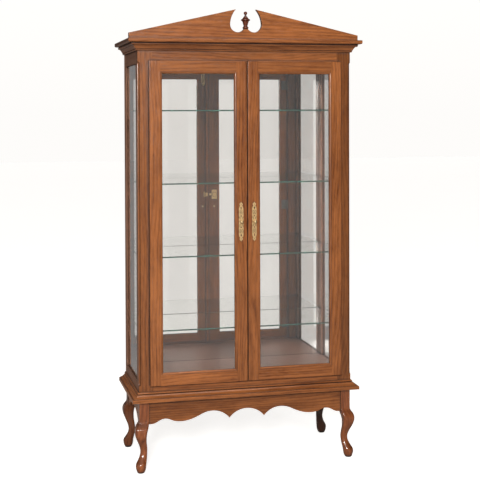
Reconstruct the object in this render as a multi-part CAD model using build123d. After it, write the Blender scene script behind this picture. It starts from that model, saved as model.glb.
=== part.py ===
"""Two-door, mirror-backed display case on cabriole legs.

The frame is +Z up with the front facing -Y and +X to the viewer's right.
Y = 0 is the front plane of the face frame, X = 0 the middle of the case and
Z = 0 the floor.  At the end every solid is moved so that the origin lies
under the middle of the whole object.  Lengths are in millimetres.
"""
from build123d import *
import math
import os

os.makedirs("parts", exist_ok=True)

# ---------------------------------------------------------------- driving sizes
CASE_WIDTH = 965.0
CASE_DEPTH = 406.0
CASE_BOTTOM = 318.0
CASE_TOP = 1865.0
FRAME_THICK = 20.0
FACE_STILE_WIDTH = 63.0
FACE_OPENING_BOTTOM = 390.9
FACE_OPENING_TOP = 1774.0
CORNER_COVE_RADIUS = 9.5

# side frames: narrow front stile behind the face frame, wide rear stile
SIDE_FRONT_STILE_END = 51.0
SIDE_REAR_STILE_START = 354.0
SIDE_OPENING_BOTTOM = 388.0
SIDE_OPENING_TOP = 1773.5
SIDE_GLASS_SETBACK = 8.0
SIDE_GLASS_THICK = 4.0
GLASS_REBATE = 8.0

# back: mirror and panel lie in a rebate of the rear stiles
MIRROR_FACE_Y = 396.0
MIRROR_THICK = 4.0
BACK_THICK = 5.5
BACK_REBATE_DEPTH = 10.0
FLOOR_TOP = 388.0
FLOOR_THICK = 20.0

# shelves
SHELF_LEVELS = (608.8, 930.0, 1250.0, 1570.3)
SHELF_THICK = 6.0
SHELF_FRONT_Y = 24.0
SHELF_BACK_Y = 392.0
SUPPORT_FRONT_Y = 33.0
SUPPORT_REAR_Y = 378.0
SUPPORT_PIN_RADIUS = 2.5
SUPPORT_PIN_DEPTH = 9.0

# doors
DOOR_OUTER_X = 435.0
DOOR_HALF_GAP = 1.5
DOOR_BOTTOM = 378.2
DOOR_TOP = 1786.8
DOOR_THICK = 20.0
DOOR_BACK_Y = -0.5
DOOR_MEMBER = 57.0
DOOR_MOULD_WIDTH = 9.5
DOOR_MOULD_DEPTH = 8.0
DOOR_GLASS_THICK = 4.0
DOOR_EDGE_RADIUS = 3.0

# hinges
HINGE_LEVELS = (464.0, 1082.5, 1701.0)
HINGE_CUP_RADIUS = 17.5
HINGE_CUP_INSET = 22.5
HINGE_CUP_DEPTH = 11.5

# pulls
PULL_X = 30.0
PULL_Z = 1082.0
PULL_LENGTH = 175.0
PULL_WIDTH = 21.0
PULL_THICK = 1.6
KEYHOLE_OFFSET = 61.0
KNOB_RADIUS = 7.8
KNOB_CENTRE = 13.5

# slide bolt on the back of the left door
BOLT_X = -25.5
BOLT_Y = 7.5
BOLT_RADIUS = 3.0
BOLT_HOLE_RADIUS = 4.8
BOLT_REST_TOP = 1771.5
BOLT_LENGTH = 74.5
BOLT_KNOB_Z = 1722.0

# lock on the back of the right door
LOCK_LEFT = 17.0
LOCK_RIGHT = 42.5
LOCK_BOTTOM = 1119.5
LOCK_TOP = 1166.5
LOCK_DEPTH = 9.5
LOCK_BOLT_END = 4.5
LOCK_BOLT_LENGTH = 35.0
LOCK_CYLINDER_RADIUS = 10.0
STRIP_WIDTH = 12.7
STRIP_THICK = 10.0
STRIKE_WIDTH = 10.0

# cornice, pediment and finial
CROWN_BOTTOM = 1829.7
CROWN_REACH = 28.8
CAP_THICK = 17.5
CAP_REACH = 44.5
PEDIMENT_FRONT_Y = -2.0
PEDIMENT_THICK = 20.0
PEDIMENT_END_X = 519.5
PEDIMENT_END_Z = 1906.5
PEDIMENT_TIP = (45.5, 2014.5)
PEDIMENT_SEAT = (9.0, 1928.5)
FINIAL_TOP = 2006.0

# base
BASE_TOP = 352.4
BASE_REACH = 31.5
BASE_FILLET_TOP = 326.0
BASE_BOTTOM = 311.4
APRON_THICK = 18.0
APRON_SETBACK = 6.0
POST_SIZE = 42.0
POST_SETBACK = 2.0

HALF_WIDTH = CASE_WIDTH / 2
INNER_X = HALF_WIDTH - FRAME_THICK
FACE_INNER_X = HALF_WIDTH - FACE_STILE_WIDTH
CAP_TOP = CASE_TOP + CAP_THICK
DOOR_FRONT_Y = DOOR_BACK_Y - DOOR_THICK

SIDES = {"left": -1, "right": 1}
nodes = {}


# ---------------------------------------------------------------- helpers
def block(x0, x1, y0, y1, z0, z1):
    """Box between two corners."""
    size = (abs(x1 - x0), abs(y1 - y0), abs(z1 - z0))
    middle = ((x0 + x1) / 2, (y0 + y1) / 2, (z0 + z1) / 2)
    return Pos(*middle) * Box(*size)


def side_block(side, x_in, x_out, y0, y1, z0, z1):
    """Box given by its distance from the middle plane, on either side."""
    return block(side * x_in, side * x_out, y0, y1, z0, z1)


def rod(start, end, radius):
    """Cylinder from one point to another."""
    start = Vector(*start)
    end = Vector(*end)
    axis = end - start
    plane = Plane(origin=start, z_dir=axis.normalized())
    return extrude(plane * Circle(radius), axis.length)


def upright(outline, z0, z1):
    """Prism along Z of an outline given as (x, y) points."""
    face = make_face(Polyline(*[(x, y, z0) for x, y in outline], close=True))
    return extrude(face, z1 - z0, dir=(0, 0, 1))


def facing(outline, y0, y1):
    """Prism along Y of an outline given as (x, z) points."""
    face = make_face(Polyline(*[(x, y0, z) for x, z in outline], close=True))
    return extrude(face, y1 - y0, dir=(0, 1, 0))


def mirror_x(shape):
    """The same shape on the other side of the middle plane."""
    return mirror(shape, about=Plane.YZ)


def on_side(side, shape):
    """A shape made for the right side, put on the side asked for."""
    return shape if side > 0 else mirror_x(shape)


def group(solids):
    """Separate solids that share one node."""
    flat = []
    for item in solids:
        flat.extend(item.solids())
    return Compound(children=flat)


def join(stile, rail, tenon):
    """Cut the tenon's mortise in the stile and put the tenon on the rail."""
    return stile - tenon, rail + tenon


# ---------------------------------------------------------------- face frame
def corner_cove(side):
    """Stopped cove on the front corner, with the round ends a cutter leaves."""
    low = (side * HALF_WIDTH, 0, SIDE_OPENING_BOTTOM)
    high = (side * HALF_WIDTH, 0, SIDE_OPENING_TOP)
    cutter = rod(low, high, CORNER_COVE_RADIUS)
    for end in (low, high):
        cutter += Pos(*end) * Sphere(CORNER_COVE_RADIUS)
    return cutter


def face_frame():
    """Two stiles and two rails, tenoned, in front of the side frames."""
    top = block(-FACE_INNER_X, FACE_INNER_X, 0, FRAME_THICK, FACE_OPENING_TOP, CASE_TOP)
    bottom = block(-FACE_INNER_X, FACE_INNER_X, 0, FRAME_THICK, CASE_BOTTOM, FACE_OPENING_BOTTOM)
    bolt_hole_top = FACE_OPENING_TOP + 16
    top -= rod((BOLT_X, BOLT_Y, FACE_OPENING_TOP - 1), (BOLT_X, BOLT_Y, bolt_hole_top), BOLT_HOLE_RADIUS)
    for name, side in SIDES.items():
        stile = side_block(side, FACE_INNER_X, HALF_WIDTH, 0, FRAME_THICK, CASE_BOTTOM, CASE_TOP)
        stile -= corner_cove(side)
        tenon_end = FACE_INNER_X + 30
        high = side_block(side, FACE_INNER_X, tenon_end, 7, 13, FACE_OPENING_TOP + 12, CASE_TOP - 12)
        low = side_block(side, FACE_INNER_X, tenon_end, 7, 13, CASE_BOTTOM + 12, FACE_OPENING_BOTTOM - 12)
        stile, top = join(stile, top, high)
        stile, bottom = join(stile, bottom, low)
        nodes["face_stile_" + name] = stile
    nodes["face_rail_top"] = top
    nodes["face_rail_bottom"] = bottom


# ---------------------------------------------------------------- side frames
def side_rebate(side, y0, y1, z0, z1):
    """Inner rebate that holds a side glass and its stops."""
    depth = HALF_WIDTH - SIDE_GLASS_SETBACK
    return side_block(side, INNER_X, depth, y0, y1, z0, z1)


def support_places():
    """Every shelf support: side, direction along Y, Y place and shelf underside."""
    places = []
    for level in SHELF_LEVELS:
        for side in SIDES.values():
            for y in (SUPPORT_FRONT_Y, SUPPORT_REAR_Y):
                places.append((side, y, level - SHELF_THICK / 2))
    return places


def support_bore(side, y, underside):
    """Hole in a stile for the pin of a shelf support."""
    z = underside - SUPPORT_PIN_RADIUS - 1.5
    radius = SUPPORT_PIN_RADIUS + 0.05
    return rod((side * (INNER_X - 1), y, z), (side * (INNER_X + SUPPORT_PIN_DEPTH), y, z), radius)


def side_frame(name, side):
    """Front and rear stiles, rails, glass and glass stops of one side."""
    opening = (SIDE_FRONT_STILE_END, SIDE_REAR_STILE_START, SIDE_OPENING_BOTTOM, SIDE_OPENING_TOP)
    y0, y1, z0, z1 = opening
    front = side_block(side, INNER_X, HALF_WIDTH, FRAME_THICK, y0, CASE_BOTTOM, CASE_TOP)
    rear = side_block(side, INNER_X, HALF_WIDTH, y1, CASE_DEPTH, CASE_BOTTOM, CASE_TOP)
    top = side_block(side, INNER_X, HALF_WIDTH, y0, y1, z1, CASE_TOP)
    bottom = side_block(side, INNER_X, HALF_WIDTH, y0, y1, CASE_BOTTOM, z0)
    tenon_x = (INNER_X + 13, INNER_X + 18)
    for z_low, z_high in ((z1 + 14, CASE_TOP - 12), (CASE_BOTTOM + 12, z0 - 14)):
        front_tenon = side_block(side, *tenon_x, y0 - 18, y0, z_low, z_high)
        rear_tenon = side_block(side, *tenon_x, y1, y1 + 25, z_low, z_high)
        if z_low > z0:
            front, top = join(front, top, front_tenon)
            rear, top = join(rear, top, rear_tenon)
        else:
            front, bottom = join(front, bottom, front_tenon)
            rear, bottom = join(rear, bottom, rear_tenon)
    recess = side_rebate(side, y0 - GLASS_REBATE, y1 + GLASS_REBATE, z0 - GLASS_REBATE, z1 + GLASS_REBATE)
    back_recess = side_block(side, INNER_X, INNER_X + BACK_REBATE_DEPTH, MIRROR_FACE_Y, CASE_DEPTH,
                             CASE_BOTTOM, CASE_TOP)
    front -= recess
    rear -= recess
    rear -= back_recess
    top -= recess
    bottom -= recess
    for place_side, y, underside in support_places():
        if place_side != side:
            continue
        if y < y0:
            front -= support_bore(side, y, underside)
        else:
            rear -= support_bore(side, y, underside)
    nodes["side_front_stile_" + name] = front
    nodes["side_rear_stile_" + name] = rear
    nodes["side_rail_top_" + name] = top
    nodes["side_rail_bottom_" + name] = bottom
    glass_out = HALF_WIDTH - SIDE_GLASS_SETBACK
    glass_in = glass_out - SIDE_GLASS_THICK
    margin = GLASS_REBATE - 1
    nodes["side_glass_" + name] = side_block(side, glass_in, glass_out, y0 - margin, y1 + margin,
                                             z0 - margin, z1 + margin)
    stops = []
    for low, high in ((y0 - GLASS_REBATE, y0), (y1, y1 + GLASS_REBATE)):
        stops.append(side_block(side, INNER_X, glass_in, low, high, z0 - GLASS_REBATE, z1 + GLASS_REBATE))
    for low, high in ((z0 - GLASS_REBATE, z0), (z1, z1 + GLASS_REBATE)):
        stops.append(side_block(side, INNER_X, glass_in, y0, y1, low, high))
    return stops


def side_frames():
    """Both side frames; their eight glass stops share one node."""
    stops = []
    for name, side in SIDES.items():
        stops.extend(side_frame(name, side))
    nodes["side_glass_stops"] = group(stops)


# ---------------------------------------------------------------- interior
def interior():
    """Floor, mirror, back panel, shelves and their supports."""
    floor_low = FLOOR_TOP - FLOOR_THICK
    nodes["case_floor"] = block(-INNER_X, INNER_X, FRAME_THICK, MIRROR_FACE_Y, floor_low, FLOOR_TOP)
    back_x = INNER_X + BACK_REBATE_DEPTH - 0.5
    mirror_back = MIRROR_FACE_Y + MIRROR_THICK
    nodes["mirror"] = block(-back_x, back_x, MIRROR_FACE_Y, mirror_back, floor_low, CASE_TOP)
    panel_back = mirror_back + BACK_THICK
    nodes["back_panel"] = block(-back_x, back_x, mirror_back, panel_back, CASE_BOTTOM, CASE_TOP)
    shelf_x = INNER_X - 3
    half_shelf = SHELF_THICK / 2
    for number, level in enumerate(SHELF_LEVELS, start=1):
        shelf = block(-shelf_x, shelf_x, SHELF_FRONT_Y, SHELF_BACK_Y, level - half_shelf, level + half_shelf)
        nodes["glass_shelf_%d" % number] = chamfer(shelf.edges().filter_by(Axis.X), 0.8)
    nodes["shelf_supports"] = group([shelf_support(*place) for place in support_places()])


def shelf_support(side, y, underside):
    """Pin in the stile with a collar and a flat ledge under the glass."""
    z = underside - SUPPORT_PIN_RADIUS - 1.5
    face = (side * (INNER_X - 2), y, z)
    pin = rod(face, (side * (INNER_X + SUPPORT_PIN_DEPTH - 1), y, z), SUPPORT_PIN_RADIUS)
    collar = rod(face, (side * INNER_X, y, z), SUPPORT_PIN_RADIUS + 1.5)
    ledge = side_block(side, INNER_X - 13, INNER_X - 2, y - 5, y + 5, underside - 2, underside)
    web = side_block(side, INNER_X - 4, INNER_X - 2, y - 4, y + 4, z - 3, underside)
    return pin + collar + ledge + web


# ---------------------------------------------------------------- mouldings
def wrap_moulding(profile):
    """Mitred front and side lengths of one (reach, height) profile."""
    size = profile.bounding_box()
    reach = size.max.X
    z0 = size.min.Z - 1
    z1 = size.max.Z + 1
    corner = HALF_WIDTH
    far = corner + 2 * reach
    side_piece = extrude(Pos(corner, -reach, 0) * profile, CASE_DEPTH + reach, dir=(0, 1, 0))
    side_piece -= upright([(corner, 0), (far, -2 * reach), (corner - 1, -2 * reach), (corner - 1, 0)], z0, z1)
    span = corner + reach
    front_piece = extrude(Pos(-span, 0, 0) * Rot(0, 0, -90) * profile, 2 * span, dir=(1, 0, 0))
    end_cut = upright([(corner, 0), (far, 0), (far, -2 * reach)], z0, z1)
    front_piece -= end_cut
    front_piece -= mirror_x(end_cut)
    return [front_piece, side_piece, mirror_x(side_piece)]


def crown_profile():
    """Rounded top fascia, cove and small lower bead, as a face in the XZ plane."""
    z_top = CASE_TOP
    z_low = CROWN_BOTTOM
    fascia_low = z_top - 11.5
    cove_low = z_low + 7.5
    edge = CROWN_REACH - 2.5
    outline = [
        Line((0, 0, z_top), (edge, 0, z_top)),
        ThreePointArc((edge, 0, z_top), (CROWN_REACH, 0, z_top - 5.5), (edge - 1.5, 0, fascia_low)),
        Line((edge - 1.5, 0, fascia_low), (edge - 6.5, 0, fascia_low)),
        ThreePointArc((edge - 6.5, 0, fascia_low), (13.0, 0, z_low + 15.0), (9.5, 0, cove_low)),
        Line((9.5, 0, cove_low), (4.5, 0, cove_low)),
        ThreePointArc((4.5, 0, cove_low), (8.2, 0, z_low + 3.8), (4.5, 0, z_low)),
        Line((4.5, 0, z_low), (0, 0, z_low)),
        Line((0, 0, z_low), (0, 0, z_top)),
    ]
    return make_face(outline)


def base_profile():
    """Top bead, wide cove between two quirks and square lower fillet, in the XZ plane."""
    bead_top = BASE_TOP - 2
    bead_low = BASE_TOP - 10
    quirk = bead_low - 1.3
    cove_low = BASE_FILLET_TOP + 3.2
    outline = [
        Line((0, 0, BASE_TOP), (2, 0, BASE_TOP)),
        Line((2, 0, BASE_TOP), (2, 0, bead_top)),
        ThreePointArc((2, 0, bead_top), (6.4, 0, (bead_top + bead_low) / 2), (2.4, 0, bead_low)),
        Line((2.4, 0, bead_low), (1.0, 0, bead_low)),
        Line((1.0, 0, bead_low), (1.0, 0, quirk)),
        Line((1.0, 0, quirk), (7.2, 0, quirk)),
        ThreePointArc((7.2, 0, quirk), (14.5, 0, BASE_FILLET_TOP + 7), (26, 0, cove_low)),
        Line((26, 0, cove_low), (26, 0, BASE_FILLET_TOP - 0.8)),
        Line((26, 0, BASE_FILLET_TOP - 0.8), (28, 0, BASE_FILLET_TOP)),
        Line((28, 0, BASE_FILLET_TOP), (BASE_REACH - 1.5, 0, BASE_FILLET_TOP)),
        ThreePointArc((BASE_REACH - 1.5, 0, BASE_FILLET_TOP), (BASE_REACH - 0.4, 0, BASE_FILLET_TOP - 0.4),
                      (BASE_REACH, 0, BASE_FILLET_TOP - 1.5)),
        Line((BASE_REACH, 0, BASE_FILLET_TOP - 1.5), (BASE_REACH, 0, BASE_BOTTOM)),
        Line((BASE_REACH, 0, BASE_BOTTOM), (0, 0, BASE_BOTTOM)),
        Line((0, 0, BASE_BOTTOM), (0, 0, BASE_TOP)),
    ]
    return make_face(outline)


def mouldings():
    """Crown and base mouldings on the front and both sides of the case."""
    nodes["crown_moulding"] = group(wrap_moulding(crown_profile()))
    base = []
    posts = [on_side(side, block(HALF_WIDTH - 60, HALF_WIDTH, y0, y1, 300, CASE_BOTTOM))
             for side in SIDES.values() for y0, y1 in ((0, 60), (CASE_DEPTH - 60, CASE_DEPTH))]
    for piece in wrap_moulding(base_profile()):
        for post in posts:
            piece -= post
        base.append(piece)
    nodes["base_moulding"] = group(base)


def cornice_cap():
    """Top board with a nosed edge on the front and sides."""
    reach = HALF_WIDTH + CAP_REACH
    board = block(-reach, reach, -CAP_REACH, CASE_DEPTH, CASE_TOP, CAP_TOP)
    rim = [edge for edge in board.edges() if edge.center().Y < CASE_DEPTH - 1]
    rim = [edge for edge in rim if edge.geom_type == GeomType.LINE]
    lower = [edge for edge in rim if abs(edge.center().Z - CASE_TOP) < 0.1]
    board = fillet(lower, 7.0)
    upper = [edge for edge in board.edges()
             if abs(edge.center().Z - CAP_TOP) < 0.1 and edge.center().Y < CASE_DEPTH - 1]
    nodes["cornice_cap"] = fillet(upper, 3.0)


# ---------------------------------------------------------------- pediment
def pediment_half():
    """Right half of the board's outline, from the seat out to the end and back."""
    seat_x, seat_z = PEDIMENT_SEAT
    tip_x, tip_z = PEDIMENT_TIP
    lobe_x = 36.5
    lobe_z = 1949.0
    lobe_radius = 35.0
    side_x = lobe_x + lobe_radius
    sweep_radius = 87.0
    sweep_x = side_x - sweep_radius
    sweep_mid = math.radians(21)
    mid = (sweep_x + sweep_radius * math.cos(sweep_mid), lobe_z + sweep_radius * math.sin(sweep_mid))
    return [
        Line((0, 0, CAP_TOP), (0, 0, seat_z)),
        Line((0, 0, seat_z), (seat_x, 0, seat_z)),
        ThreePointArc((seat_x, 0, seat_z), (lobe_x, 0, lobe_z - lobe_radius), (side_x, 0, lobe_z)),
        ThreePointArc((side_x, 0, lobe_z), (mid[0], 0, mid[1]), (tip_x, 0, tip_z)),
        Line((tip_x, 0, tip_z), (PEDIMENT_END_X, 0, PEDIMENT_END_Z)),
        Line((PEDIMENT_END_X, 0, PEDIMENT_END_Z), (PEDIMENT_END_X, 0, CAP_TOP)),
        Line((PEDIMENT_END_X, 0, CAP_TOP), (0, 0, CAP_TOP)),
    ]


def pediment():
    """Broken-arch board on top of the cap, with the finial's dowel hole."""
    half = extrude(make_face(pediment_half()), PEDIMENT_THICK, dir=(0, 1, 0))
    half = Pos(0, PEDIMENT_FRONT_Y, 0) * half
    board = half + mirror_x(half)
    finial_y = PEDIMENT_FRONT_Y + PEDIMENT_THICK / 2
    board -= rod((0, finial_y, PEDIMENT_SEAT[1] - 18), (0, finial_y, PEDIMENT_SEAT[1] + 1), 4.0)
    outline = [edge for edge in board.edges() if edge.center().Z > CAP_TOP + 1 and abs(edge.center().X) > 20]
    outline = [edge for edge in outline if abs(edge.center().Y - finial_y) > PEDIMENT_THICK / 2 - 0.01]
    sloped = [edge for edge in outline
              if abs(edge.center().X) > PEDIMENT_TIP[0] + 100 or edge.geom_type != GeomType.LINE]
    nodes["pediment_board"] = fillet(sloped, 1.5)


def finial():
    """Turned urn finial with a ball tip and a dowel."""
    seat = PEDIMENT_SEAT[1]
    ball_radius = 7.8
    ball_z = FINIAL_TOP - ball_radius
    half_neck = 4.2
    ball_start = ball_z - math.sqrt(ball_radius ** 2 - half_neck ** 2)
    outline = [
        Line((0, 0, seat - 17), (3.95, 0, seat - 17)),
        Line((3.95, 0, seat - 17), (3.95, 0, seat)),
        Line((3.95, 0, seat), (9.5, 0, seat)),
        Line((9.5, 0, seat), (12.0, 0, seat + 2.5)),
        ThreePointArc((12.0, 0, seat + 2.5), (13.6, 0, seat + 5.5), (12.0, 0, seat + 8.5)),
        ThreePointArc((12.0, 0, seat + 8.5), (9.0, 0, seat + 13), (9.8, 0, seat + 18)),
        Line((9.8, 0, seat + 18), (13.8, 0, seat + 33)),
        Line((13.8, 0, seat + 33), (17.0, 0, seat + 36.5)),
        ThreePointArc((17.0, 0, seat + 36.5), (20.3, 0, seat + 39.5), (19.5, 0, seat + 42)),
        ThreePointArc((19.5, 0, seat + 42), (12.5, 0, seat + 47.5), (8.5, 0, seat + 54)),
        ThreePointArc((8.5, 0, seat + 54), (5.0, 0, seat + 57), (half_neck, 0, seat + 59)),
        Line((half_neck, 0, seat + 59), (half_neck, 0, ball_start)),
        ThreePointArc((half_neck, 0, ball_start), (ball_radius, 0, ball_z), (0, 0, FINIAL_TOP)),
        Line((0, 0, FINIAL_TOP), (0, 0, seat - 17)),
    ]
    turned = revolve(make_face(outline), Axis.Z)
    nodes["finial"] = Pos(0, PEDIMENT_FRONT_Y + PEDIMENT_THICK / 2, 0) * turned


# ---------------------------------------------------------------- base frame
def scalloped_half(end_x):
    """Right half of the front apron's lower edge, from the middle to a leg."""
    arch = ThreePointArc((0, 0, 251.5), (42, 0, 242.5), (79, 0, 213.8))
    rise = ThreePointArc((79, 0, 213.8), (106, 0, 237.0), (141, 0, 249.3))
    crest = ThreePointArc((141, 0, 249.3), (172, 0, 249.0), (203, 0, 239.5))
    fall = Spline((203, 0, 239.5), (242, 0, 222.5), (296, 0, 212.8),
                  tangents=((1, 0, -0.50), (1, 0, 0)))
    lobe = Spline((296, 0, 212.8), (334, 0, 219.0), (366, 0, 228.8),
                  tangents=((1, 0, 0), (1, 0, 0)))
    ear = Spline((366, 0, 228.8), (394, 0, 221.0), (422, 0, 209.5),
                 tangents=((1, 0, 0), (1, 0, -0.12)))
    foot = Line((422, 0, 209.5), (end_x, 0, 208.5))
    return [arch, rise, crest, fall, lobe, ear, foot]


def front_apron():
    """Scalloped board between the front legs."""
    end_x = HALF_WIDTH - POST_SETBACK - POST_SIZE
    top = CASE_BOTTOM
    edges = scalloped_half(end_x)
    edges += [Line((end_x, 0, 208.5), (end_x, 0, top)), Line((end_x, 0, top), (0, 0, top)),
              Line((0, 0, top), (0, 0, 251.5))]
    half = extrude(make_face(edges), APRON_THICK, dir=(0, 1, 0))
    half = Pos(0, APRON_SETBACK, 0) * half
    nodes["apron_front"] = half + mirror_x(half)


def side_apron():
    """Arched board between a front and a rear leg, made for the right side."""
    start = POST_SETBACK + POST_SIZE
    end = CASE_DEPTH - start
    middle = (start + end) / 2
    low = 208.5
    crest = 250.0
    edges = [
        Line((0, start, low), (0, start + 14, low)),
        Spline((0, start + 14, low), (0, start + 52, 227), (0, start + 92, 243), (0, middle, crest),
               (0, end - 92, 243), (0, end - 52, 227), (0, end - 14, low),
               tangents=((0, 1, 0.1), (0, 1, -0.1))),
        Line((0, end - 14, low), (0, end, low)),
        Line((0, end, low), (0, end, CASE_BOTTOM)),
        Line((0, end, CASE_BOTTOM), (0, start, CASE_BOTTOM)),
        Line((0, start, CASE_BOTTOM), (0, start, low)),
    ]
    board = extrude(make_face(edges), APRON_THICK, dir=(1, 0, 0))
    return Pos(HALF_WIDTH - APRON_SETBACK - APRON_THICK, 0, 0) * board


def base_frame():
    """Front, side and rear aprons."""
    front_apron()
    apron = side_apron()
    nodes["apron_sides"] = group([apron, mirror_x(apron)])
    end_x = HALF_WIDTH - POST_SETBACK - POST_SIZE
    rear_y = CASE_DEPTH - APRON_SETBACK
    nodes["apron_rear"] = block(-end_x, end_x, rear_y - APRON_THICK, rear_y, 250, CASE_BOTTOM)


# Cabriole sections: height, centre of the section measured outward from the
# case's corner, half its size, and how round its corners are (1 is a circle).
LEG_SECTIONS = (
    (0.0, -8.0, 13.0, 0.92),
    (7.0, -8.5, 17.5, 0.92),
    (20.0, -8.5, 21.5, 0.92),
    (36.0, -9.5, 22.3, 0.90),
    (49.0, -14.0, 20.0, 0.88),
    (64.0, -19.5, 16.8, 0.84),
    (85.0, -23.5, 14.8, 0.80),
    (108.0, -21.5, 16.0, 0.74),
    (130.0, -15.5, 18.8, 0.66),
    (152.0, -10.5, 22.6, 0.56),
    (174.0, -9.0, 25.6, 0.46),
    (192.0, -12.5, 26.6, 0.36),
    (208.0, -18.8, 23.8, 0.26),
    (222.0, -22.4, 20.8, 0.14),
)


def cabriole_leg():
    """Right rear leg: a square post on a cabriole with a pad foot."""
    corner_x = HALF_WIDTH
    corner_y = CASE_DEPTH
    sections = []
    for height, out, half, roundness in LEG_SECTIONS:
        plane = Plane.XY.offset(height)
        outline = RectangleRounded(2 * half, 2 * half, roundness * half)
        sections.append(plane * Pos(corner_x + out, corner_y + out) * outline)
    lower = loft(sections)
    outer = -POST_SETBACK
    inner = outer - POST_SIZE
    x_span = (corner_x + inner, corner_x + outer)
    y_span = (corner_y + inner, corner_y + outer)
    post = block(*x_span, *y_span, LEG_SECTIONS[-1][0], CASE_BOTTOM)
    post = fillet(post.edges().filter_by(Axis.Z), 1.5)
    return lower + post


def legs():
    """The same leg at all four corners."""
    leg = cabriole_leg()
    middle = Plane(origin=(0, CASE_DEPTH / 2, 0), z_dir=(0, 1, 0))
    for end, shape in (("rear", leg), ("front", mirror(leg, about=middle))):
        for name, side in SIDES.items():
            nodes["leg_%s_%s" % (end, name)] = on_side(side, shape)


# ---------------------------------------------------------------- doors
def door_section():
    """Section of a door member: x from its outer edge inwards, y from the back."""
    outer = 0.0
    flat = DOOR_MEMBER - DOOR_MOULD_WIDTH
    inner = DOOR_MEMBER
    front = -DOOR_THICK
    glass_face = front + DOOR_MOULD_DEPTH
    edges = [
        Line((outer, 0, 0), (outer, front, 0)),
        Line((outer, front, 0), (flat, front, 0)),
        Line((flat, front, 0), (flat, front + 1.5, 0)),
        ThreePointArc((flat, front + 1.5, 0), (flat + 6.0, front + 3.2, 0), (inner, glass_face - 0.5, 0)),
        Line((inner, glass_face - 0.5, 0), (inner, glass_face, 0)),
        Line((inner, glass_face, 0), (flat, glass_face, 0)),
        Line((flat, glass_face, 0), (flat, 0, 0)),
        Line((flat, 0, 0), (outer, 0, 0)),
    ]
    return make_face(edges)


def door_stile(outer_x, inward, length):
    """Full-height member; inward is +1 or -1 along X."""
    section = door_section()
    if inward < 0:
        section = mirror_x(section)
    stile = extrude(section, length, dir=(0, 0, 1))
    stile = Pos(outer_x, DOOR_BACK_Y, DOOR_BOTTOM) * stile
    arris = [edge for edge in stile.edges()
             if abs(edge.center().Y - DOOR_FRONT_Y) < 0.01
             and (abs(edge.center().X - outer_x) < 0.01
                  or abs(edge.center().Z - DOOR_BOTTOM) < 0.01
                  or abs(edge.center().Z - DOOR_TOP) < 0.01)]
    return fillet(arris, DOOR_EDGE_RADIUS)


def door_rail(x0, x1, outer_z, inward):
    """Member between the stiles; inward is +1 or -1 along Z."""
    section = door_section()
    tilt = Plane(origin=(x0, DOOR_BACK_Y, outer_z), x_dir=(0, 0, inward), z_dir=(-inward, 0, 0))
    rail = extrude(tilt * section, x1 - x0, dir=(1, 0, 0))
    arris = [edge for edge in rail.edges()
             if abs(edge.center().Y - DOOR_FRONT_Y) < 0.01 and abs(edge.center().Z - outer_z) < 0.01]
    return fillet(arris, DOOR_EDGE_RADIUS)


def mitre(stile, rail, x, x_way, z, z_way):
    """Mitre the mouldings where a stile and a rail meet.

    (x, z) is where the two flat faces meet, and x_way and z_way point from
    there towards the pane.
    """
    reach = DOOR_MOULD_WIDTH + 1
    inner = (x + x_way * reach, z + z_way * reach)
    outer_z = z - z_way * DOOR_MEMBER
    depth = (DOOR_FRONT_Y - 1, DOOR_BACK_Y + 1)
    stile -= facing([(x, z), inner, (inner[0], outer_z), (x, outer_z)], *depth)
    rail -= facing([(x, z), inner, (x - x_way, inner[1]), (x - x_way, z)], *depth)
    return stile, rail


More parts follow.
